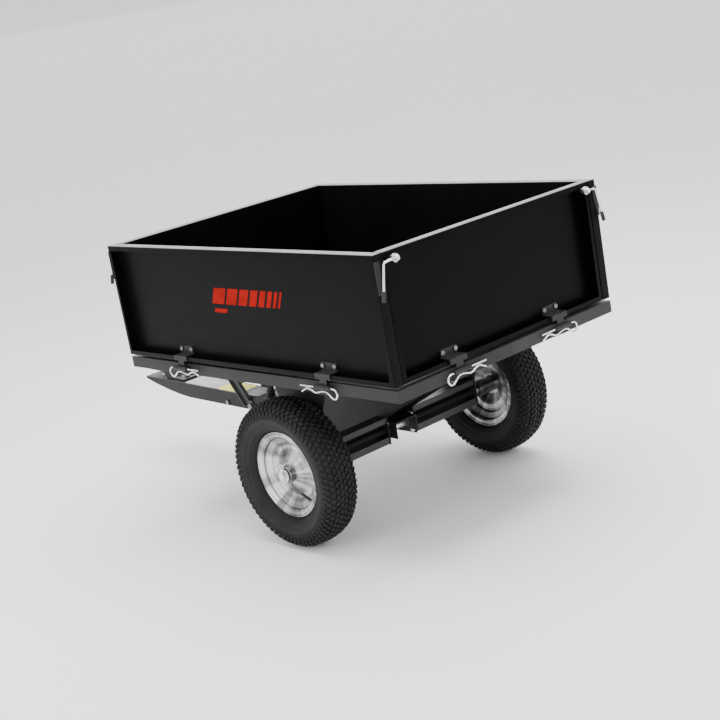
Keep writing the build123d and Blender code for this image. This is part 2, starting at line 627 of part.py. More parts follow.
def fixed_leaf_on(lip, leaf_lip, y):
    """Fixed leaf, packed out where the panel stands outside the floor lip."""
    leaf = fixed_leaf(leaf_lip, y)
    if leaf_lip > lip:
        outer = HINGE_WIDTH / 2
        leaf += block(lip, leaf_lip, y - outer, y + outer, LIP_BOTTOM, HINGE_Z - KNUCKLE_RADIUS - 1.0)
    return leaf


def build_latches():
    for name, end in (("rear", 1), ("front", -1)):
        PARTS[f"{name}_latch_studs"] = solids(at_end(latch_stud(-1), end), at_end(latch_stud(1), end))
        for side_name, side in (("left", -1), ("right", 1)):
            PARTS[f"{name}_{side_name}_latch_lever"] = at_end(latch_lever(side), end)
            PARTS[f"{name}_{side_name}_latch_grip"] = at_end(latch_grip(side), end)
    for side_name, side in (("left", -1), ("right", 1)):
        plates = [at_end(catch_plate(side), end) for end in (1, -1)]
        PARTS[f"{side_name}_catch_plates"] = solids(*plates)


# ---- drawbar, drawn level about the axle and then tilted ----

def tilted(shape):
    return Pos(AXLE_X, 0, AXLE_Z) * Rot(0, DRAWBAR_TILT, 0) * shape


def drawbar_channel():
    """Inverted channel whose side flanges rise to a point at the nose."""
    top = DRAWBAR_OVER_AXLE
    bottom = top - DRAWBAR_HEIGHT
    half = DRAWBAR_WIDTH / 2
    nose = -DRAWBAR_REACH
    body = block(nose, DRAWBAR_TAIL, -half, half, bottom, top)
    hollow = block(nose - 1, DRAWBAR_TAIL + 1, -half + DRAWBAR_SHEET, half - DRAWBAR_SHEET,
                   bottom - 1, top - DRAWBAR_SHEET)
    taper_end = (nose + NOSE_TAPER, bottom)
    taper_nose = (nose, top - NOSE_HEIGHT)
    middle = (nose + NOSE_TAPER * 0.45, bottom + (DRAWBAR_HEIGHT - NOSE_HEIGHT) * 0.4)
    curve = ThreePointArc(taper_end, middle, taper_nose)
    edge = Polyline(taper_nose, (nose - 5, top - NOSE_HEIGHT), (nose - 5, bottom - 5), (taper_end[0], bottom - 5),
                    taper_end)
    face = Plane.XZ.offset(-half - 1) * make_face([curve, edge])
    cut = extrude(face, DRAWBAR_WIDTH + 2)
    hitch_x = nose + HITCH_SETBACK
    hitch_hole = rod((hitch_x, 0, bottom), (hitch_x, 0, top + 1), HITCH_HOLE_RADIUS)
    bush_hole = rod((0, -half - 1, 0), (0, half + 1, 0), AXLE_RADIUS + RUNNING_CLEARANCE + BUSH_WALL)
    return body - hollow - cut - hitch_hole - bush_hole


def hitch_jaw():
    """Cranked plate: a foot bolted to the drawbar and a raised tongue over the hitch hole."""
    top = DRAWBAR_OVER_AXLE
    nose = -DRAWBAR_REACH
    foot_end = nose + JAW_SETBACK
    foot_start = foot_end - JAW_FOOT
    tongue_tip = nose + HITCH_SETBACK - JAW_TONGUE_OVERHANG
    crank = JAW_GAP
    tongue_low = top + JAW_GAP
    outline = [(foot_end, top), (foot_start, top), (foot_start - crank, tongue_low), (tongue_tip, tongue_low),
               (tongue_tip, tongue_low + JAW_SHEET), (foot_start - crank + 2.5, tongue_low + JAW_SHEET),
               (foot_start + 2.5, top + JAW_SHEET), (foot_end, top + JAW_SHEET)]
    plate = plate_xz(outline, -JAW_WIDTH / 2, JAW_WIDTH / 2)
    hitch_x = nose + HITCH_SETBACK
    hole = rod((hitch_x, 0, top), (hitch_x, 0, tongue_low + JAW_SHEET + 1), HITCH_HOLE_RADIUS)
    return plate - hole


def jaw_bolts():
    top = DRAWBAR_OVER_AXLE + JAW_SHEET
    centre = -DRAWBAR_REACH + JAW_SETBACK - JAW_FOOT / 2
    found = []
    for step in (-1, 1):
        x = centre + step * JAW_FOOT / 4
        found.append(rod((x, 0, top), (x, 0, top + JAW_BOLT_HEAD), JAW_BOLT_RADIUS))
    return found


def bushes():
    """Flanged bushes where the side flanges of the drawbar turn on the axle."""
    half = DRAWBAR_WIDTH / 2
    bore = AXLE_RADIUS + RUNNING_CLEARANCE
    found = []
    for side in (-1, 1):
        inner = side * (half - DRAWBAR_SHEET)
        outer = side * half
        flange = side * (half + BUSH_FLANGE)
        sleeve = rod((0, inner, 0), (0, outer, 0), bore + BUSH_WALL)
        collar = rod((0, outer, 0), (0, flange, 0), bore + BUSH_WALL + 4.0)
        hole = rod((0, inner - side, 0), (0, flange + side, 0), bore)
        found.append(sleeve + collar - hole)
    return found


def tip_lever():
    """Channel-shaped lever that straddles the drawbar and leans forward to a foot pedal."""
    half = DRAWBAR_WIDTH / 2 + LEVER_SIDE_GAP
    outer = half + LEVER_SHEET
    pivot_z = DRAWBAR_OVER_AXLE - LEVER_PIVOT_DROP
    clear_top = LEVER_PIVOT_DROP + LEVER_TAIL
    wide = LEVER_WIDTH / 2
    bridge = block(-wide, wide, -half, half, clear_top + LEVER_BRIDGE, clear_top + LEVER_BRIDGE + LEVER_SHEET)
    pedal_y = half + PEDAL_LENGTH / 2
    pedal_z = LEVER_LENGTH - PEDAL_INSET
    body = bridge + rod((0, -pedal_y, pedal_z), (0, pedal_y, pedal_z), PEDAL_RADIUS)
    for side in (-1, 1):
        face, back, lip = side * half, side * outer, side * (outer + LEVER_FLANGE)
        body += block(-wide, wide, face, back, -LEVER_TAIL, LEVER_LENGTH)
        for edge in (-1, 1):
            body += block(edge * wide, edge * (wide + LEVER_SHEET), face, lip, LEVER_TAIL + 2.0, LEVER_LENGTH)
    hole = rod((0, -outer - 1, 0), (0, outer + 1, 0), LEVER_BOLT_RADIUS + RUNNING_CLEARANCE)
    leaned = Rot(0, -LEVER_LEAN, 0) * (body - hole)
    return Pos(LEVER_PIVOT_X, 0, pivot_z) * leaned


def lever_bolt():
    """Pivot bolt through the drawbar with a head and a nut outside the lever."""
    outer = DRAWBAR_WIDTH / 2 + LEVER_SIDE_GAP + LEVER_SHEET + SEAT_GAP
    z = DRAWBAR_OVER_AXLE - LEVER_PIVOT_DROP
    shank = rod((LEVER_PIVOT_X, -outer - 7, z), (LEVER_PIVOT_X, outer + 7, z), LEVER_BOLT_RADIUS)
    for side in (-1, 1):
        shank += rod((LEVER_PIVOT_X, side * outer, z), (LEVER_PIVOT_X, side * (outer + 6.0), z), 10.0)
    return shank


def anchor_bolt():
    """Bolt in the left side flange that the lever's return spring hooks on."""
    z = DRAWBAR_OVER_AXLE - DRAWBAR_HEIGHT + ANCHOR_RISE
    face = -DRAWBAR_WIDTH / 2
    return rod((ANCHOR_X, face, z), (ANCHOR_X, face - 5.0, z), 7.0)


def build_striker():
    """Bar under the floor, in two ears, that the tip lever hooks when it stands upright."""
    x = AXLE_X + LEVER_PIVOT_X
    z = BED_TOP - STRIKER_DROP
    half = STRIKER_EAR_WIDTH / 2
    bar = rod((x, -STRIKER_HALF, z), (x, STRIKER_HALF, z), STRIKER_RADIUS)
    for side in (-1, 1):
        outer = side * STRIKER_HALF
        inner = side * (STRIKER_HALF - STRIKER_EAR)
        bar += block(x - half, x + half, inner, outer, z - half / 2, FLOOR_UNDERSIDE)
        foot = side * (STRIKER_HALF - STRIKER_EAR - 14.0)
        bar += block(x - half, x + half, foot, outer, FLOOR_UNDERSIDE - STRIKER_EAR, FLOOR_UNDERSIDE)
    PARTS["latch_striker"] = bar


def build_drawbar():
    channel = drawbar_channel()
    z = DRAWBAR_OVER_AXLE - LEVER_PIVOT_DROP
    channel -= rod((LEVER_PIVOT_X, -DRAWBAR_WIDTH, z), (LEVER_PIVOT_X, DRAWBAR_WIDTH, z), LEVER_BOLT_RADIUS)
    PARTS["drawbar_channel"] = tilted(channel)
    PARTS["hitch_jaw"] = tilted(hitch_jaw())
    PARTS["jaw_bolts"] = solids(*[tilted(bolt) for bolt in jaw_bolts()])
    PARTS["drawbar_bushes"] = solids(*[tilted(bush) for bush in bushes()])
    PARTS["tip_lever"] = tilted(tip_lever())
    PARTS["lever_bolts"] = solids(tilted(lever_bolt()), tilted(anchor_bolt()))


def build_bump_stop():
    """Rubber post on the drawbar that the floor seam rests on."""
    slope = tan(radians(DRAWBAR_TILT))
    x = AXLE_X + BUMP_X
    seat = AXLE_Z + DRAWBAR_OVER_AXLE / cos(radians(DRAWBAR_TILT)) - BUMP_X * slope
    post_top = BED_TOP - SEAM_FLANGE - SEAT_GAP
    post = rod((x, 0, seat - 0.5), (x, 0, post_top), BUMP_RADIUS)
    washer = rod((x, 0, seat + 8.0), (x, 0, seat + 12.0), BUMP_WASHER_RADIUS)
    under = tilted(block(BUMP_X - 40, BUMP_X + 40, -40, 40, -DRAWBAR_HEIGHT, DRAWBAR_OVER_AXLE))
    PARTS["bump_stop"] = post + washer - under


build_wheels()
build_axle()
build_supports()
build_floor()
build_panels()
build_latches()
build_drawbar()
build_striker()
build_bump_stop()

os.makedirs("parts", exist_ok=True)
for node, shape in PARTS.items():
    export_step(shape, f"parts/{node}.step")
print("nodes", len(PARTS), "bed centre", round(BED_X, 2), "axle", round(AXLE_X, 2))
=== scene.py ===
import json
from math import cos, pi, radians, sin

import bmesh
import bpy
from mathutils import Matrix, Vector


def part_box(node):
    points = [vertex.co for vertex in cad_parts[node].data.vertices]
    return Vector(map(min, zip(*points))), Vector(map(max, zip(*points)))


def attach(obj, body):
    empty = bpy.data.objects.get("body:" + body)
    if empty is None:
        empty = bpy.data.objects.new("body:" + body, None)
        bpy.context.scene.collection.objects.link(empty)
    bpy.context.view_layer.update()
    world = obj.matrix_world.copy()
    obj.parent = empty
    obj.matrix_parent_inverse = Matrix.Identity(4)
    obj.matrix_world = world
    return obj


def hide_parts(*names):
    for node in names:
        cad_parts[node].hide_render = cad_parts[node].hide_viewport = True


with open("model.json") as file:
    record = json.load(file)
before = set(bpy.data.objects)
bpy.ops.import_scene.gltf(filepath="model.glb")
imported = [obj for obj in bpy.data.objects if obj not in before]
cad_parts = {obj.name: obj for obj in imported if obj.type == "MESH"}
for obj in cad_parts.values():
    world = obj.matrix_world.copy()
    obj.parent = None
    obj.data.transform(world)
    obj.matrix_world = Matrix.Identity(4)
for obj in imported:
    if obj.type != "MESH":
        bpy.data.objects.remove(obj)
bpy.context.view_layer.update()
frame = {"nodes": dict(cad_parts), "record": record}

# ---- Viewpoint and studio -----------------------------------------------------------------
# The cart stands on a pale floor that curves up far away, under large soft lamps. The camera
# looks down on the left rear corner, as someone walking up behind the cart sees it.
bed_low, bed_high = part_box("left_floor_pan")
bed_x = (bed_low[0] + bed_high[0]) / 2

camera_data = bpy.data.cameras.new("camera")
camera_data.lens = 75.4
camera_data.sensor_width = 36.0
camera_data.shift_x = -0.0076
camera = bpy.data.objects.new("camera", camera_data)
forward = Vector((-0.7401, 0.6241, -0.2504)).normalized()
down = Vector((0.0756, -0.2928, -0.9532))
down = (down - down.dot(forward) * forward).normalized()
right = down.cross(forward)
turn = Matrix((right, -down, -forward)).transposed().to_4x4()
camera.matrix_world = Matrix.Translation((bed_x + 3.128, -2.643, 1.449)) @ turn
bpy.context.scene.collection.objects.link(camera)
bpy.context.scene.camera = camera


def link(obj):
    """Put an object in the scene and hand it back."""
    bpy.context.scene.collection.objects.link(obj)
    return obj


def soft_lamp(name, place, target, size, watts):
    """Square studio lamp that faces a point."""
    data = bpy.data.lights.new(name, "AREA")
    data.shape = "SQUARE"
    data.size = size
    data.energy = watts
    lamp = link(bpy.data.objects.new(name, data))
    aim = (Vector(target) - Vector(place)).to_track_quat("-Z", "Y").to_matrix().to_4x4()
    lamp.matrix_world = Matrix.Translation(place) @ aim
    lamp.visible_camera = False


soft_lamp("overhead_lamp", (0.2, 0.3, 3.6), (0.2, 0.0, 0.4), 3.2, 210)
soft_lamp("rear_lamp", (3.8, 0.9, 2.4), (0.3, 0.0, 0.4), 1.8, 34)
soft_lamp("left_lamp", (0.4, -3.8, 1.9), (0.2, 0.0, 0.4), 1.8, 45)


def new_finish(name, **plain):
    """Material with plain values on its shader; underscores in a name stand for spaces."""
    material = bpy.data.materials.new(name)
    material.use_nodes = True
    shader = material.node_tree.nodes["Principled BSDF"]
    for socket, value in plain.items():
        shader.inputs[socket.replace("_", " ")].default_value = value
    return material, shader


def add_node(tree, kind, inputs=None, **settings):
    """Node with its settings, and its inputs filled by a value or by another node's output."""
    made = tree.nodes.new(kind)
    for setting, value in settings.items():
        setattr(made, setting, value)
    for socket, value in (inputs or {}).items():
        if isinstance(value, bpy.types.NodeSocket):
            tree.links.new(value, made.inputs[socket])
        else:
            made.inputs[socket].default_value = value
    return made


def object_place(tree, stretch=(1.0, 1.0, 1.0)):
    """Object coordinates, stretched for a pattern that runs one way."""
    coords = add_node(tree, "ShaderNodeTexCoord")
    mapping = add_node(tree, "ShaderNodeMapping",
                       {"Vector": coords.outputs["Object"], "Scale": stretch})
    return mapping.outputs["Vector"]


def noise(tree, place, scale, detail=4.0, roughness=0.55):
    return add_node(tree, "ShaderNodeTexNoise", {"Vector": place, "Scale": scale, "Detail": detail,
                                                 "Roughness": roughness}).outputs["Fac"]


def spread(tree, value, low, high, from_low=0.3, from_high=0.7):
    """Stretch a noise value to a range."""
    limits = {"Value": value, "From Min": from_low, "From Max": from_high,
              "To Min": low, "To Max": high}
    return add_node(tree, "ShaderNodeMapRange", limits).outputs["Result"]


def blend_colour(tree, factor, first, second):
    made = add_node(tree, "ShaderNodeMix", {0: factor, 6: first, 7: second}, data_type="RGBA")
    return made.outputs[2]


def grain(tree, shader, height, strength, depth):
    """Bump from a height, with its depth in metres."""
    bump = add_node(tree, "ShaderNodeBump",
                    {"Height": height, "Strength": strength, "Distance": depth})
    tree.links.new(bump.outputs["Normal"], shader.inputs["Normal"])


floor_finish, floor_shader = new_finish("studio_floor", Roughness=0.75)
floor_tree = floor_finish.node_tree
floor_cloud = noise(floor_tree, object_place(floor_tree), 0.8)
floor_tint = blend_colour(floor_tree, floor_cloud, (0.93, 0.93, 0.93, 1), (0.96, 0.96, 0.96, 1))
floor_tree.links.new(floor_tint, floor_shader.inputs["Base Color"])
floor_mesh = bpy.data.meshes.new("studio_floor")
floor_half, cove_radius, cove_steps = 300.0, 60.0, 16
floor_points, cove = [], []
for step in range(cove_steps + 1):
    bend = radians(90) * step / cove_steps
    half, height = floor_half + cove_radius * sin(bend), cove_radius * (1 - cos(bend))
    floor_points += [(-half, -half, height), (half, -half, height),
                     (half, half, height), (-half, half, height)]
for lower in range(0, 4 * cove_steps, 4):
    for side in range(4):
        after = (side + 1) % 4
        cove.append((lower + side, lower + 4 + side, lower + 4 + after, lower + after))
floor_mesh.from_pydata(floor_points, [], [(0, 1, 2, 3)] + cove)
floor_mesh.materials.append(floor_finish)
link(bpy.data.objects.new("studio_floor", floor_mesh))

studio = bpy.data.worlds.new("studio")
studio.use_nodes = True
studio_tree = studio.node_tree
sky = add_node(studio_tree, "ShaderNodeTexCoord").outputs["Generated"]
glow_from = (-0.74, 0.62, 0.27)
dim_strength, bright_strength = 1.3, 4.2
outer_spread, inner_spread = radians(34), radians(12)
toward_glow = add_node(studio_tree, "ShaderNodeVectorMath", {0: sky, 1: glow_from},
                       operation="DOT_PRODUCT").outputs["Value"]
glow = spread(studio_tree, toward_glow, dim_strength, bright_strength,
              cos(outer_spread), cos(inner_spread))
studio_tree.links.new(glow, studio_tree.nodes["Background"].inputs["Strength"])
studio_tree.nodes["Background"].inputs["Color"].default_value = (1.0, 1.0, 1.0, 1)
bpy.context.scene.world = studio


# ---- Drawbar ------------------------------------------------------------------------------
# Inverted channel folded from 3 mm steel, its side flanges cut to a point at the nose, black
# powder coat. The cranked jaw is bolted on its top web; nylon bushes carry it on the axle.
body_of_node = {}
for body_name, body_nodes in frame["record"]["behaviour"]["bodies"].items():
    for one in body_nodes:
        body_of_node[one] = body_name


def maths(tree, operation, first, second=0.0):
    """Result of one arithmetic node."""
    made = add_node(tree, "ShaderNodeMath", {0: first, 1: second}, operation=operation)
    return made.outputs[0]


def powder_coat(name, dark, light, roughness, peel=0.10, gloss=0.12):
    """Baked powder coat: a slightly cloudy black with orange peel and faint rubbed patches."""
    material, shader = new_finish(name, Specular_IOR_Level=gloss)
    tree = material.node_tree
    place = object_place(tree)
    cloud = noise(tree, place, 3.0, 3.0)
    speck = noise(tree, place, 420.0, 2.0)
    tint = maths(tree, "ADD", spread(tree, cloud, 0.0, 0.45), spread(tree, speck, 0.0, 0.55))
    tree.links.new(blend_colour(tree, tint, dark, light), shader.inputs["Base Color"])
    rubbed = noise(tree, place, 11.0, 6.0, 0.65)
    tree.links.new(spread(tree, rubbed, roughness - 0.07, roughness + 0.08),
                   shader.inputs["Roughness"])
    grain(tree, shader, noise(tree, place, 900.0, 2.0), peel, 0.0004)
    return material


def eased(name, material, width, sharp=40.0):
    """A CAD piece's copy with its hard edges eased round; it takes the piece's place."""
    source = frame["nodes"][name]
    mesh = source.data.copy()
    mesh.name = name + "_finished"
    shape = bmesh.new()
    shape.from_mesh(mesh)
    bmesh.ops.remove_doubles(shape, verts=shape.verts, dist=0.00002)
    bmesh.ops.dissolve_limit(shape, angle_limit=radians(0.5), verts=shape.verts, edges=shape.edges)
    shape.to_mesh(mesh)
    shape.free()
    return finished_copy(name, mesh, material, width, sharp, [name])


def taken_mesh(rough):
    """Mesh of an object with its modifiers applied; the object itself is removed."""
    final = bpy.data.meshes.new_from_object(
        rough.evaluated_get(bpy.context.evaluated_depsgraph_get()))
    bpy.data.objects.remove(rough)
    return final


def finished_copy(name, mesh, material, width, sharp, replaced):
    """Object with eased edges and even shading, applied, riding where the replaced nodes ride."""
    mesh.materials.clear()
    mesh.materials.append(material)
    mesh.shade_smooth()
    mesh.set_sharp_from_angle(angle=radians(sharp))
    rough = link(bpy.data.objects.new(name + "_rough", mesh))
    if width:
        bevel = rough.modifiers.new("ease", "BEVEL")
        bevel.width = width
        bevel.segments = 2
        bevel.limit_method = "ANGLE"
        bevel.angle_limit = radians(sharp)
        even = rough.modifiers.new("even", "WEIGHTED_NORMAL")
        even.keep_sharp = False
    final = taken_mesh(rough)
    final.name = name + "_piece"
    piece = link(bpy.data.objects.new(name + "_piece", final))
    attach(piece, body_of_node[replaced[0]])
    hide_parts(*replaced)
    return piece


frame_coat = powder_coat("frame_powder_coat", (0.014, 0.014, 0.015, 1),
                         (0.026, 0.026, 0.027, 1), 0.40)
eased("drawbar_channel", frame_coat, 0.0010)
eased("hitch_jaw", frame_coat, 0.0010)


def plated(name, tint, roughness, stretch=(1.0, 1.0, 1.0), scale=60.0):
    """Bright zinc plate: uneven sheen, faint drawing lines and small dull spots."""
    material, shader = new_finish(name, Metallic=1.0)
    tree = material.node_tree
    place = object_place(tree, stretch)
    cloud = noise(tree, place, scale, 5.0)
    duller = tuple(0.72 * part for part in tint[:3]) + (1,)
    tree.links.new(blend_colour(tree, spread(tree, cloud, 0.0, 1.0), duller, tint),
                   shader.inputs["Base Color"])
    tree.links.new(spread(tree, cloud, roughness + 0.10, roughness - 0.06),
                   shader.inputs["Roughness"])
    grain(tree, shader, noise(tree, place, scale * 12.0, 2.0), 0.12, 0.0003)
    return material


bolt_zinc = plated("bolt_zinc", (0.78, 0.79, 0.80, 1), 0.30)
black_bolt = powder_coat("blacked_bolt", (0.020, 0.020, 0.021, 1), (0.060, 0.060, 0.062, 1),
                         0.36)
dull_zinc = plated("dull_zinc", (0.24, 0.24, 0.25, 1), 0.34)
eased("jaw_bolts", dull_zinc, 0.0012)
eased("lever_bolts", dull_zinc, 0.0010)

nylon, nylon_shader = new_finish("bush_nylon", Specular_IOR_Level=0.4)
nylon_tree = nylon.node_tree
nylon_cloud = noise(nylon_tree, object_place(nylon_tree), 90.0)
nylon_tint = blend_colour(nylon_tree, nylon_cloud, (0.035, 0.035, 0.04, 1),
                          (0.07, 0.07, 0.075, 1))
nylon_tree.links.new(nylon_tint, nylon_shader.inputs["Base Color"])
nylon_tree.links.new(spread(nylon_tree, nylon_cloud, 0.42, 0.55), nylon_shader.inputs["Roughness"])
grain(nylon_tree, nylon_shader, nylon_cloud, 0.1, 0.0003)
eased("drawbar_bushes", nylon, 0.0006)


# ---- Label plate on the drawbar -----------------------------------------------------------
# Three thin printed films on top of the drawbar: a blank yellow field between two blank grey
# ones. Stuck down flat, with rounded corners.
axle_low, axle_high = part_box("axle_shaft")
axle_x = (axle_low[0] + axle_high[0]) / 2
axle_z = (axle_low[2] + axle_high[2]) / 2
drawbar_tilt = radians(1.5)
drawbar_top = 0.026


def on_drawbar(x, y, z):
    """World place of a point given level about the axle."""
    return Vector((axle_x + x * cos(drawbar_tilt) + z * sin(drawbar_tilt), y,
                   axle_z - x * sin(drawbar_tilt) + z * cos(drawbar_tilt)))


def closed_mesh(name, points, faces):
    """Mesh of a closed shape with its faces turned outward."""
    mesh = bpy.data.meshes.new(name)
    mesh.from_pydata(points, [], faces)
    shape = bmesh.new()
    shape.from_mesh(mesh)
    bmesh.ops.recalc_face_normals(shape, faces=shape.faces)
    shape.to_mesh(mesh)
    shape.free()
    return mesh


def prism(name, outline, thickness, place, material, body):
    """Flat closed piece: an outline put in place, and the same outline a thickness above."""
    count = len(outline)
    points = [place(u, v, 0.0) for u, v in outline] + [place(u, v, thickness) for u, v in outline]
    faces = [tuple(range(count))[::-1], tuple(range(count, 2 * count))]
    for step in range(count):
        after = (step + 1) % count
        faces.append((step, after, count + after, count + step))
    mesh = closed_mesh(name, [tuple(point) for point in points], faces)
    mesh.materials.append(material)
    piece = link(bpy.data.objects.new(name, mesh))
    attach(piece, body)
    return piece


def rounded_outline(points, radius, steps=4):
    """Closed outline with each corner turned by an arc."""
    found = []
    for index, corner in enumerate(points):
        here = Vector(corner)
        before = (Vector(points[index - 1]) - here).normalized()
        after = (Vector(points[(index + 1) % len(points)]) - here).normalized()
        for step in range(steps + 1):
            part = step / steps
            found.append(tuple(here + radius * ((1 - part) ** 2 * before + part ** 2 * after)))
    return found


def printed_film(name, tint, second):
    """Printed film: even ink with faint mottling and a satin top coat."""
    material, shader = new_finish(name, Specular_IOR_Level=0.04)
    tree = material.node_tree
    mottle = noise(tree, object_place(tree, (0.4, 1.0, 1.0)), 60.0, 3.0)
    tree.links.new(blend_colour(tree, spread(tree, mottle, 0.0, 1.0), tint, second),
                   shader.inputs["Base Color"])
    tree.links.new(spread(tree, mottle, 0.45, 0.55), shader.inputs["Roughness"])
    grain(tree, shader, mottle, 0.04, 0.0002)
    return material


film_grey = printed_film("label_grey", (0.36, 0.35, 0.39, 1), (0.54, 0.54, 0.57, 1))
film_yellow = printed_film("label_yellow", (0.84, 0.76, 0.12, 1), (0.88, 0.82, 0.20, 1))
film_thickness, film_corner, film_lift = 0.0002, 0.006, 0.0001
film_half = 0.036


def on_drawbar_top(u, v, w):
    return on_drawbar(u, v, drawbar_top + film_lift + w)


for film_name, film_start, film_end, film in (
        ("drawbar_label_grey", -0.955, -0.785, film_grey),
        ("drawbar_label_yellow", -0.783, -0.660, film_yellow),
        ("drawbar_label_rear", -0.658, -0.572, film_grey)):
    corners = [(film_start, -film_half), (film_end, -film_half),
               (film_end, film_half), (film_start, film_half)]
    prism(film_name, rounded_outline(corners, film_corner), film_thickness, on_drawbar_top, film,
          "drawbar")


# ---- Tip lever, striker and bump stop -----------------------------------------------------
# Folded steel lever that straddles the drawbar, with a foot bar across its end. It hooks a bar
# under the bed; the bed's seam rests on a moulded rubber post with a steel washer.
lever_coat = powder_coat("lever_powder_coat", (0.040, 0.040, 0.042, 1),
                         (0.070, 0.070, 0.072, 1), 0.34, gloss=0.30)
eased("tip_lever", lever_coat, 0.0008)
eased("latch_striker", frame_coat, 0.0012)


def moulded_rubber(name, dark, light, roughness):
    """Moulded rubber: dull, faintly cloudy, with a fine pebbled skin."""
    material, shader = new_finish(name, Specular_IOR_Level=0.35)
    tree = material.node_tree
    place = object_place(tree)
    cloud = noise(tree, place, 28.0, 5.0)
    tree.links.new(blend_colour(tree, spread(tree, cloud, 0.0, 1.0), dark, light),
                   shader.inputs["Base Color"])
    tree.links.new(spread(tree, cloud, roughness - 0.06, roughness + 0.08),
                   shader.inputs["Roughness"])
    grain(tree, shader, noise(tree, place, 700.0, 3.0), 0.18, 0.0004)
    return material


black_rubber = moulded_rubber("black_rubber", (0.010, 0.010, 0.010, 1),
                              (0.022, 0.022, 0.022, 1), 0.55)
eased("bump_stop", black_rubber, 0.0015)


# ---- Axle, supports and their bolts -------------------------------------------------------
# Ground steel shaft through four gusset plates. Two folded channels join the gussets under the
# bed; everything but the shaft, washers and bolts is powder coated.
bright_steel = plated("ground_steel", (0.80, 0.80, 0.80, 1), 0.22, (1.0, 0.06, 1.0), 90.0)
# The shaft's material holds painted shade: it is dark where the shaft runs inside the beams.
shaft_steel, shaft_shader = new_finish("shaft_painted_shade")
shaft_tree = shaft_steel.node_tree
shaft_spot = add_node(shaft_tree, "ShaderNodeTexCoord").outputs["Object"]
shaft_across = add_node(shaft_tree, "ShaderNodeSeparateXYZ", {0: shaft_spot}).outputs["Y"]
shaft_side = maths(shaft_tree, "ABSOLUTE", shaft_across)
shaft_edge = noise(shaft_tree, shaft_spot, 130.0)
shaft_ragged = maths(shaft_tree, "ADD", shaft_side, spread(shaft_tree, shaft_edge, 0.0, 0.006))
# Painted shade: between these two distances from the middle, where the shaft lies in the shade
# inside the beams, it is coloured near black, not metallic and rougher; the ends stay bright.
shade_start, shade_end, shade_fade = 0.0530, 0.3080, 0.0005
shade_from = spread(shaft_tree, shaft_ragged, 0.0, 1.0, shade_start, shade_start + shade_fade)
shade_to = spread(shaft_tree, shaft_ragged, 1.0, 0.0, shade_end, shade_end + shade_fade)
painted_shade = maths(shaft_tree, "MULTIPLY", shade_from, shade_to)
shaft_tint = blend_colour(shaft_tree, painted_shade, (0.74, 0.74, 0.74, 1), (0.012, 0.012, 0.012, 1))
shaft_tree.links.new(shaft_tint, shaft_shader.inputs["Base Color"])
shaft_tree.links.new(spread(shaft_tree, painted_shade, 1.0, 0.0, 0.0, 1.0),
                     shaft_shader.inputs["Metallic"])
shaft_sheen = maths(shaft_tree, "ADD", spread(shaft_tree, shaft_edge, 0.22, 0.34),
                    spread(shaft_tree, painted_shade, 0.0, 0.3, 0.0, 1.0))
shaft_tree.links.new(shaft_sheen, shaft_shader.inputs["Roughness"])
shaft_shader.inputs["Specular IOR Level"].default_value = 0.1
grain(shaft_tree, shaft_shader, shaft_edge, 0.05, 0.0001)
eased("axle_shaft", shaft_steel, 0.0007)
for fastener in ("axle_spacers", "axle_washers"):
    eased(fastener, bright_steel, 0.0007)
eased("cotter_pins", bright_steel, 0.0)
# Painted light: the beams take a lighter, glossier copy of the gussets' black coat.
beam_coat_painted_light = powder_coat("beam_powder_coat_painted_light", (0.034, 0.034, 0.035, 1),
                           (0.056, 0.056, 0.057, 1), 0.36, gloss=0.16)
for side in ("left", "right"):
    eased(f"{side}_inner_gusset", frame_coat, 0.0009)
    eased(f"{side}_outer_gusset", frame_coat, 0.0009)
    eased(f"{side}_axle_beam", beam_coat_painted_light, 0.0009)
eased("support_bolts", bolt_zinc, 0.0012)


# ---- Floor of the bed ---------------------------------------------------------------------
# Two pans folded from 2 mm steel with lips on three sides, bolted together along the middle.
# The coat on the lips is a little greyer than on the panels.
left_floor_coat = powder_coat("left_floor_coat", (0.020, 0.020, 0.021, 1),
                              (0.036, 0.036, 0.037, 1), 0.38, 0.30, 0.10)
right_floor_coat = powder_coat("right_floor_coat", (0.026, 0.026, 0.027, 1),
                               (0.044, 0.044, 0.045, 1), 0.36, 0.30, 0.10)
eased("left_floor_pan", left_floor_coat, 0.0011)
eased("right_floor_pan", right_floor_coat, 0.0011)
eased("seam_bolts", black_bolt, 0.0012)


# ---- Drop panels --------------------------------------------------------------------------
# Four trays folded from 1.8 mm steel: a sheet at the load side, four walls and a return rim at
# the outside, with rounded bends. Satin black powder coat, with painted shade on the rear and
# front panels: their copy of the coat is darker.
def soften(points, radii, steps=4):
    """Open line of points with arcs at its inner corners, one radius for each."""
    found = [tuple(points[0])]
    for index in range(1, len(points) - 1):
        here = Vector(points[index])
        before = Vector(points[index - 1]) - here
        after = Vector(points[index + 1]) - here
        reach = min(radii[index - 1], before.length * 0.45, after.length * 0.45)
        for step in range(steps + 1):
            part = step / steps
            found.append(tuple(here + reach * ((1 - part) ** 2 * before.normalized()
                                               + part ** 2 * after.normalized())))
    found.append(tuple(points[-1]))
    return found


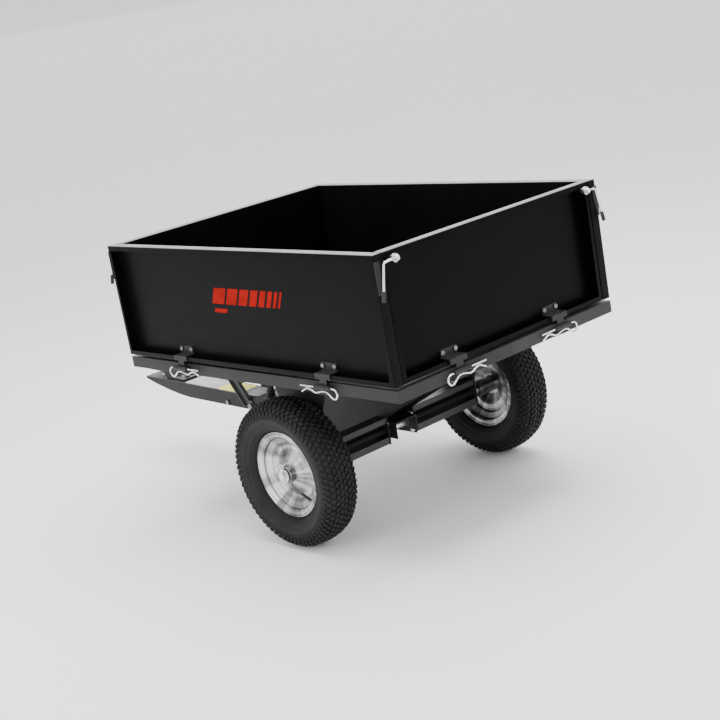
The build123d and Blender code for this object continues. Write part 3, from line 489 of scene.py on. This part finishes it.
def folded_tray(name, node, axis, outward, material):
    """Tray in a CAD panel's box; axis 0 or 1 is the way it faces, outward is its sign."""
    low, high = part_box(node)
    sheet, rim, bend = 0.0018, 0.014, 0.0034
    spring = 0.0013
    depth = high[axis] - low[axis]
    face = high[axis] if outward > 0 else low[axis]
    along = 1 - axis
    line = soften([(0.009, depth), (0.0, depth), (0.0, spring), (rim, 0.0), (rim, sheet),
                   (sheet, sheet), (sheet, depth - sheet), (0.012, depth - sheet)],
                  [bend, bend, 0.0004, 0.0004, 0.0012, 0.0012])
    points, faces = [], []
    for inset, back in line:
        a0, a1 = low[along] + inset, high[along] - inset
        z0, z1 = low[2] + inset, high[2] - inset
        for a, z in ((a0, z0), (a1, z0), (a1, z1), (a0, z1)):
            point = [0.0, 0.0, z]
            point[axis] = face - outward * back
            point[along] = a
            points.append(tuple(point))
    for ring in range(len(line) - 1):
        for corner in range(4):
            after = (corner + 1) % 4
            faces.append((4 * ring + corner, 4 * ring + after,
                          4 * ring + 4 + after, 4 * ring + 4 + corner))
    last = 4 * (len(line) - 1)
    faces.append((0, 1, 2, 3))
    faces.append((last, last + 1, last + 2, last + 3))
    mesh = closed_mesh(name, points, faces)
    mesh.materials.append(material)
    mesh.shade_smooth()
    mesh.set_sharp_from_angle(angle=radians(35))
    rough = link(bpy.data.objects.new(name + "_rough", mesh))
    even = rough.modifiers.new("even", "WEIGHTED_NORMAL")
    even.keep_sharp = True
    final = taken_mesh(rough)
    piece = link(bpy.data.objects.new(name, final))
    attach(piece, body_of_node[node])
    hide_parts(node)


rim_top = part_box("left_panel")[1][2]


def panel_coat(name, dark, light):
    """Panel paint; the top edge, polished by hands and loads, catches more light than the sheet."""
    material = powder_coat(name, dark, light, 0.36, 0.08)
    tree = material.node_tree
    spot = add_node(tree, "ShaderNodeTexCoord").outputs["Object"]
    height = add_node(tree, "ShaderNodeSeparateXYZ", {0: spot}).outputs["Z"]
    polished = spread(tree, height, 0.05, 1.0, rim_top - 0.0020, rim_top - 0.0006)
    tree.links.new(polished, tree.nodes["Principled BSDF"].inputs["Specular IOR Level"])
    return material


side_coat = panel_coat("panel_powder_coat", (0.0024, 0.0024, 0.0026, 1),
                       (0.0042, 0.0042, 0.0044, 1))
# Painted shade: the rear and front panels take a darker copy of the side panels' coat.
end_coat_painted_shade = panel_coat("end_panel_coat_painted_shade", (0.0008, 0.0008, 0.0009, 1),
                      (0.0016, 0.0016, 0.0017, 1))
for panel, axis, outward, coat in (("left", 1, -1, side_coat), ("right", 1, 1, side_coat),
                                   ("rear", 0, 1, end_coat_painted_shade), ("front", 0, -1, end_coat_painted_shade)):
    folded_tray(f"{panel}_panel_tray", f"{panel}_panel", axis, outward, coat)


# ---- Mark on the left panel ---------------------------------------------------------------
# Slanted bars and a short stripe, screen printed in red on the recessed sheet. A plain
# pattern of the builder's own.
panel_low, panel_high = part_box("left_panel")
ink_red = printed_film("ink_red", (0.24, 0.0030, 0.0012, 1), (0.34, 0.0045, 0.0018, 1))
sheet_y = panel_high[1] - 0.0018
mark_left = bed_x - 0.142
mark_base = panel_low[2] + 0.167
bar_slant = 0.020
bar_start = mark_left


def on_left_sheet(u, v, w):
    return Vector((u, sheet_y - 0.0001 - w, v))


bar_gap, bar_height = 0.009, 0.044
for number, bar_width in enumerate((0.052, 0.044, 0.037, 0.030, 0.024, 0.018, 0.012, 0.008), 1):
    bar_end, bar_top = bar_start + bar_width, mark_base + bar_height
    bar = [(bar_start, mark_base), (bar_end, mark_base),
           (bar_end + bar_slant, bar_top), (bar_start + bar_slant, bar_top)]
    prism(f"mark_bar_{number}", rounded_outline(bar, 0.003), 0.0001, on_left_sheet, ink_red,
          "left_panel")
    bar_start = bar_end + bar_gap
stripe_base, stripe_top = mark_base - 0.024, mark_base - 0.013
stripe = [(mark_left + 0.004, stripe_base), (mark_left + 0.058, stripe_base),
          (mark_left + 0.063, stripe_top), (mark_left + 0.009, stripe_top)]
prism("mark_stripe", rounded_outline(stripe, 0.002), 0.0001, on_left_sheet, ink_red,
      "left_panel")


# ---- Hinges -------------------------------------------------------------------------------
# Rolled steel leaves, coated black: one on each panel, one on the floor lip. Hairpin clips of
# bright zinc-plated wire are the hinge pins, so that each panel lifts off.
hinge_coat = powder_coat("hinge_powder_coat", (0.016, 0.016, 0.017, 1),
                         (0.034, 0.034, 0.035, 1), 0.36, 0.14)
for panel in ("left", "right", "rear", "front"):
    eased(f"{panel}_panel_leaves", hinge_coat, 0.0006)
    eased(f"{panel}_panel_bolts", dull_zinc, 0.0010)
eased("fixed_hinge_leaves", hinge_coat, 0.0006)
clip_zinc = plated("clip_zinc", (0.88, 0.88, 0.88, 1), 0.20, (1.0, 1.0, 1.0), 120.0)


def wire(name, routes, thickness, material):
    """Mesh of round wires with capped ends, one along each smooth route of points."""
    curve = bpy.data.curves.new(name, "CURVE")
    curve.dimensions = "3D"
    curve.bevel_depth = thickness / 2
    curve.bevel_resolution = 4
    curve.use_fill_caps = True
    for route in routes:
        line = curve.splines.new("NURBS")
        line.points.add(len(route) - 1)
        for spot, point in zip(line.points, route):
            spot.co = (*point, 1.0)
        line.use_endpoint_u = True
        line.order_u = 3
        line.resolution_u = 8
    made = link(bpy.data.objects.new(name + "_rough", curve))
    mesh = taken_mesh(made)
    mesh.name = name
    mesh.materials.clear()
    mesh.materials.append(material)
    mesh.shade_smooth()
    return link(bpy.data.objects.new(name, mesh))


# Distance past the middle of the hinge and height from its axis, along one clip.
clip_route = [(-0.084, 0.0), (-0.060, 0.0), (0.0, 0.0), (0.030, 0.0), (0.042, 0.0),
              (0.051, -0.004), (0.054, -0.014), (0.048, -0.025), (0.038, -0.027),
              (0.028, -0.021), (0.018, -0.011), (0.006, -0.0085), (-0.010, -0.0105),
              (-0.024, -0.0155), (-0.034, -0.0145), (-0.046, -0.0080), (-0.056, -0.0056),
              (-0.064, -0.0065), (-0.074, -0.0125), (-0.082, -0.0160)]
hinge_z = panel_low[2] - 0.018
clip_routes = []
for panel, along in (("left", 0), ("right", 0), ("rear", 1), ("front", 1)):
    outward = 1 - along
    low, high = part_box(f"{panel}_panel_leaves")
    middle = (low[along] + high[along]) / 2
    half_spacing = (high[along] - low[along]) / 2 - 0.029
    knuckle = 0.006
    axis_at = high[outward] - knuckle if panel in ("right", "rear") else low[outward] + knuckle
    for direction in (-1, 1):
        route = []
        for past, height in clip_route:
            point = [0.0, 0.0, hinge_z + height]
            point[along] = middle + direction * (half_spacing + past)
            point[outward] = axis_at
            route.append(point)
        clip_routes.append(route)
hairpins = wire("hairpin_clips", clip_routes, 0.005, clip_zinc)
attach(hairpins, "bed")
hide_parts("hinge_clips")


# ---- Corner latches -----------------------------------------------------------------------
# Bent rods of bright wire that turn on ball-headed studs and drop in front of tapered plates on
# the side panels. The free end wears a pushed-on rubber sleeve.
latch_zinc = plated("latch_zinc", (0.80, 0.80, 0.81, 1), 0.26, (1.0, 1.0, 0.2), 110.0)
for end in ("front", "rear"):
    eased(f"{end}_latch_studs", latch_zinc, 0.0005)
    for side in ("left", "right"):
        eased(f"{end}_{side}_latch_lever", latch_zinc, 0.0, 60.0)
        eased(f"{end}_{side}_latch_grip", black_rubber, 0.0012)
for side in ("left", "right"):
    eased(f"{side}_catch_plates", hinge_coat, 0.0006)


# ---- Tyres --------------------------------------------------------------------------------
# Pneumatic tyre: a rounded carcass with two beads on the rim, eleven rows of moulded blocks that
# wrap over the shoulders and thin ribs below them. One soft black rubber moulding.
wheel_half_turns = 144


def spun(name, outlines, centre, mirrored):
    """Mesh of closed (radius, distance along the axle) outlines turned about the axle."""
    points, faces = [], []
    flip = -1.0 if mirrored else 1.0
    for outline in outlines:
        start = len(points)
        count = len(outline)
        for step in range(wheel_half_turns):
            angle = 2 * pi * step / wheel_half_turns
            for radius, along in outline:
                points.append((centre[0] + radius * cos(angle), centre[1] + flip * along,
                               centre[2] + radius * sin(angle)))
        for step in range(wheel_half_turns):
            here = start + step * count
            there = start + ((step + 1) % wheel_half_turns) * count
            for index in range(count):
                after = (index + 1) % count
                faces.append((here + index, here + after, there + after, there + index))
    return closed_mesh(name, points, faces)


def rounded_loop(points, radius, steps=3):
    """Closed outline, in millimetres, with arcs at its corners; given back in metres."""
    found = []
    for index, corner in enumerate(points):
        here = Vector(corner)
        before = Vector(points[index - 1]) - here
        after = Vector(points[(index + 1) % len(points)]) - here
        reach = min(radius, before.length * 0.4, after.length * 0.4)
        for step in range(steps + 1):
            part = step / steps
            spot = here + reach * ((1 - part) ** 2 * before.normalized()
                                   + part ** 2 * after.normalized())
            found.append((spot[0] / 1000, spot[1] / 1000))
    return found


def block_row_tree():
    """Geometry Nodes: one row of tapered tread blocks round the Y axis, joined to what comes in."""
    tree = bpy.data.node_groups.new("tread_row", "GeometryNodeTree")
    face = tree.interface
    face.new_socket("Geometry", in_out="INPUT", socket_type="NodeSocketGeometry")
    face.new_socket("Blocks", in_out="INPUT", socket_type="NodeSocketInt")
    for name in ("Radius", "Across", "Length", "Width", "Height", "Skew", "Lean", "Phase"):
        face.new_socket(name, in_out="INPUT", socket_type="NodeSocketFloat")
    face.new_socket("Rubber", in_out="INPUT", socket_type="NodeSocketMaterial")
    face.new_socket("Geometry", in_out="OUTPUT", socket_type="NodeSocketGeometry")
    given = tree.nodes.new("NodeGroupInput").outputs
    out = tree.nodes.new("NodeGroupOutput")

    circle = add_node(tree, "GeometryNodeMeshCircle",
                      {"Vertices": given["Blocks"], "Radius": given["Radius"]})
    upright = add_node(tree, "ShaderNodeCombineXYZ", {"X": pi / 2, "Y": given["Phase"]})
    shift = add_node(tree, "ShaderNodeCombineXYZ", {"Y": given["Across"]})
    ring = add_node(tree, "GeometryNodeTransform",
                    {"Geometry": circle.outputs[0], "Rotation": upright.outputs[0],
                     "Translation": shift.outputs[0]})
    size = add_node(tree, "ShaderNodeCombineXYZ",
                    {"X": given["Length"], "Y": given["Width"], "Z": given["Height"]})
    block = add_node(tree, "GeometryNodeMeshCube", {"Size": size.outputs[0]})
    place = add_node(tree, "GeometryNodeInputPosition")
    parts = add_node(tree, "ShaderNodeSeparateXYZ", {0: place.outputs[0]})
    top = maths(tree, "GREATER_THAN", parts.outputs["Z"], 0.0)
    taper_x = maths(tree, "MULTIPLY", maths(tree, "MULTIPLY", parts.outputs["X"], -0.22), top)
    taper_y = maths(tree, "MULTIPLY", maths(tree, "MULTIPLY", parts.outputs["Y"], -0.18), top)
    slide = maths(tree, "ADD", taper_x,
                  maths(tree, "MULTIPLY", parts.outputs["Y"], given["Skew"]))
    offset = add_node(tree, "ShaderNodeCombineXYZ", {"X": slide, "Y": taper_y})
    shaped = add_node(tree, "GeometryNodeSetPosition", {"Geometry": block.outputs[0],
                                                        "Offset": offset.outputs[0]})
    lean = add_node(tree, "ShaderNodeCombineXYZ", {"X": given["Lean"]})
    leaned = add_node(tree, "GeometryNodeTransform", {"Geometry": shaped.outputs[0],
                                                      "Rotation": lean.outputs[0]})
    outward = add_node(tree, "ShaderNodeVectorMath", {0: place.outputs[0], 1: (1.0, 0.0, 1.0)},
                       operation="MULTIPLY")
    facing = add_node(tree, "FunctionNodeAlignRotationToVector", {"Vector": outward.outputs[0]},
                      axis="Z", pivot_axis="Y")
    blocks = add_node(tree, "GeometryNodeInstanceOnPoints", {"Points": ring.outputs[0],
                                                             "Instance": leaned.outputs[0],
                                                             "Rotation": facing.outputs[0]})
    real = add_node(tree, "GeometryNodeRealizeInstances", {"Geometry": blocks.outputs[0]})
    both = add_node(tree, "GeometryNodeJoinGeometry")
    tree.links.new(real.outputs[0], both.inputs[0])
    tree.links.new(given["Geometry"], both.inputs[0])
    coated = add_node(tree, "GeometryNodeSetMaterial", {"Geometry": both.outputs[0],
                                                        "Material": given["Rubber"]})
    tree.links.new(coated.outputs[0], out.inputs[0])
    return tree


tyre_rubber, tyre_shader = new_finish("tyre_rubber", Specular_IOR_Level=0.18)
tyre_tree = tyre_rubber.node_tree
tyre_place = object_place(tyre_tree)
tyre_cloud = noise(tyre_tree, tyre_place, 14.0, 6.0, 0.6)
tyre_tint = blend_colour(tyre_tree, spread(tyre_tree, tyre_cloud, 0.0, 1.0),
                         (0.005, 0.005, 0.0052, 1), (0.018, 0.018, 0.0184, 1))
tyre_tree.links.new(tyre_tint, tyre_shader.inputs["Base Color"])
tyre_tree.links.new(spread(tyre_tree, tyre_cloud, 0.50, 0.66), tyre_shader.inputs["Roughness"])
grain(tyre_tree, tyre_shader, noise(tyre_tree, tyre_place, 520.0, 4.0), 0.22, 0.0005)

tread_tree = block_row_tree()
socket_of = {item.name: item.identifier for item in tread_tree.interface.items_tree
             if item.in_out == "INPUT"}
blocks_round = 70
half_pitch = pi / blocks_round
# Blocks round, across, radius at the block's middle, length, width, height, skew, lean in
# degrees, phase. The last row is the thin radial ribs below the shoulder.
tread_rows = [
    (blocks_round, 0.0, 0.1987, 0.0118, 0.0098, 0.0080, 0.30, 0.0, 0.0),
    (blocks_round, 0.0128, 0.1984, 0.0118, 0.0098, 0.0080, -0.35, -3.0, half_pitch),
    (blocks_round, 0.0254, 0.1966, 0.0118, 0.0098, 0.0085, 0.35, -11.0, 0.0),
    (blocks_round, 0.0372, 0.1925, 0.0116, 0.0098, 0.0090, -0.25, -27.0, half_pitch),
    (blocks_round, 0.0466, 0.1858, 0.0108, 0.0098, 0.0085, 0.15, -48.0, 0.0),
    (blocks_round, 0.0520, 0.1765, 0.0080, 0.0110, 0.0056, 0.0, -70.0, half_pitch),
    (2 * blocks_round, 0.0528, 0.1660, 0.0022, 0.0130, 0.0022, 0.0, -88.0, half_pitch / 2)]
# Radius and distance from the middle, in millimetres, from a bead to the crown, then inside.
carcass_half = [(101.8, 13.6), (101.8, 21.0), (105.8, 25.6), (120.0, 25.6), (125.0, 36.5),
                (133.0, 43.5), (135.0, 45.8), (138.0, 46.2), (140.0, 45.6), (150.0, 51.0),
                (165.0, 53.2), (179.0, 51.0), (189.0, 42.5), (194.0, 31.0), (196.5, 15.0)]
carcass_inside = [(188.0, 20.0), (183.0, 33.0), (170.0, 45.0), (152.0, 44.0), (128.0, 29.0),
                  (115.0, 13.6)]
carcass = carcass_half + [(r, -y) for r, y in reversed(carcass_half)]
carcass += [(r, -y) for r, y in reversed(carcass_inside)] + carcass_inside
for side, sign in (("left", -1), ("right", 1)):
    low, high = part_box(f"{side}_tyre")
    centre = [(a + b) / 2 for a, b in zip(low, high)]
    mesh = spun(f"{side}_tyre_moulding", [rounded_loop(carcass, 6.0)], (0.0, 0.0, 0.0), sign < 0)
    mesh.materials.append(tyre_rubber)
    rough = link(bpy.data.objects.new(f"{side}_tyre_rough", mesh))
    for count, offset, radius, length, width, height, skew, lean, phase in tread_rows:
        for across in ((1, -1) if offset else (1,)):
            modifier = rough.modifiers.new("row", "NODES")
            modifier.node_group = tread_tree
            values = {"Blocks": count, "Radius": radius, "Across": across * offset,
                      "Length": length, "Width": width, "Height": height,
                      "Skew": across * skew, "Lean": across * radians(lean), "Phase": phase,
                      "Rubber": tyre_rubber}
            for label, value in values.items():
                modifier[socket_of[label]] = value
    ease = rough.modifiers.new("ease", "BEVEL")
    ease.width = 0.0015
    ease.segments = 1
    ease.limit_method = "ANGLE"
    ease.angle_limit = radians(50)
    final = taken_mesh(rough)
    final.transform(Matrix.Translation(centre))
    final.shade_smooth()
    final.set_sharp_from_angle(angle=radians(38))
    tyre = link(bpy.data.objects.new(f"{side}_tyre_moulding", final))
    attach(tyre, f"{side}_wheel")
    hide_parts(f"{side}_tyre")


# ---- Wheels -------------------------------------------------------------------------------
# Rim pressed from steel sheet in a stepped band with a dished web, welded to a hub tube and
# painted bright silver. A flanged bearing closes each end of the tube.
def silver_paint(name):
    """Bright silver: fine flake, broad light and dark sectors round the axle painted in as
    reflections, faint turned rings.
    """
    material, shader = new_finish(name, Metallic=1.0)
    tree = material.node_tree
    place = object_place(tree)
    from_axle = add_node(tree, "ShaderNodeVectorMath", {0: place, 1: (axle_x, 0.0, axle_z)},
                         operation="SUBTRACT").outputs["Vector"]
    radial = add_node(tree, "ShaderNodeVectorMath", {0: from_axle, 1: (1.0, 0.0, 1.0)},
                      operation="MULTIPLY").outputs["Vector"]
    heading = add_node(tree, "ShaderNodeVectorMath", {0: radial},
                       operation="NORMALIZE").outputs["Vector"]
    radius = add_node(tree, "ShaderNodeVectorMath", {0: radial},
                      operation="LENGTH").outputs["Value"]
    # Painted reflections: broad light and dark sectors round the axle, put into the colour.
    painted_glint_sectors = noise(tree, heading, 2.6, 2.0)
    rings = add_node(tree, "ShaderNodeTexNoise", {"W": radius, "Scale": 110.0, "Detail": 2.0},
                     noise_dimensions="1D").outputs["Fac"]
    flake = noise(tree, place, 1500.0, 2.0)
    cloud = noise(tree, place, 30.0, 4.0)
    broad = maths(tree, "ADD", spread(tree, painted_glint_sectors, 0.0, 0.55, 0.42, 0.58),
                  spread(tree, rings, 0.0, 0.25))
    tone = maths(tree, "ADD", broad, spread(tree, cloud, 0.0, 0.25))
    tree.links.new(blend_colour(tree, tone, (0.06, 0.06, 0.062, 1), (0.70, 0.70, 0.71, 1)),
                   shader.inputs["Base Color"])
    tree.links.new(spread(tree, cloud, 0.27, 0.37), shader.inputs["Roughness"])
    grain(tree, shader, flake, 0.02, 0.0002)
    return material


rim_silver = silver_paint("rim_silver")
bearing_steel = plated("bearing_steel", (0.10, 0.10, 0.105, 1), 0.32)
# Radius and distance from the middle, in millimetres: the stepped band, then the dished web.
rim_band = [(119.0, 30.4), (119.0, 26.0), (105.5, 26.0), (101.5, 22.0), (101.5, 14.5), (84.0, 7.5),
            (84.0, -7.5), (101.5, -14.5), (101.5, -22.0), (105.5, -26.0), (119.0, -26.0),
            (119.0, -30.4), (114.0, -30.4), (112.0, -28.4), (105.5, -28.0), (99.0, -24.0),
            (99.0, -15.5), (81.5, -8.5), (81.5, 8.5), (99.0, 15.5), (99.0, 24.0), (105.5, 28.0),
            (112.0, 28.4), (114.0, 30.4)]
rim_web = [(82.5, 6.0), (82.5, -2.5), (62.0, -2.5), (42.0, 10.0), (31.0, 16.0), (23.0, 16.0),
           (23.0, 18.5), (32.0, 18.5), (43.0, 12.5), (63.0, 0.0), (76.5, 0.0), (80.5, 6.0)]
for side, sign in (("left", -1), ("right", 1)):
    low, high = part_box(f"{side}_tyre")
    centre = [(a + b) / 2 for a, b in zip(low, high)]
    outlines = [rounded_loop(rim_band, 3.2, 4), rounded_loop(rim_web, 5.0, 4)]
    mesh = spun(f"{side}_rim_pressing", outlines, centre, sign < 0)
    finished_copy(f"{side}_rim_pressing", mesh, rim_silver, 0.0, 50.0, [f"{side}_rim"])
    eased(f"{side}_hub", rim_silver, 0.0008)
    eased(f"{side}_bearings", bearing_steel, 0.0006)
    eased(f"{side}_valve_stem", black_rubber, 0.0010)
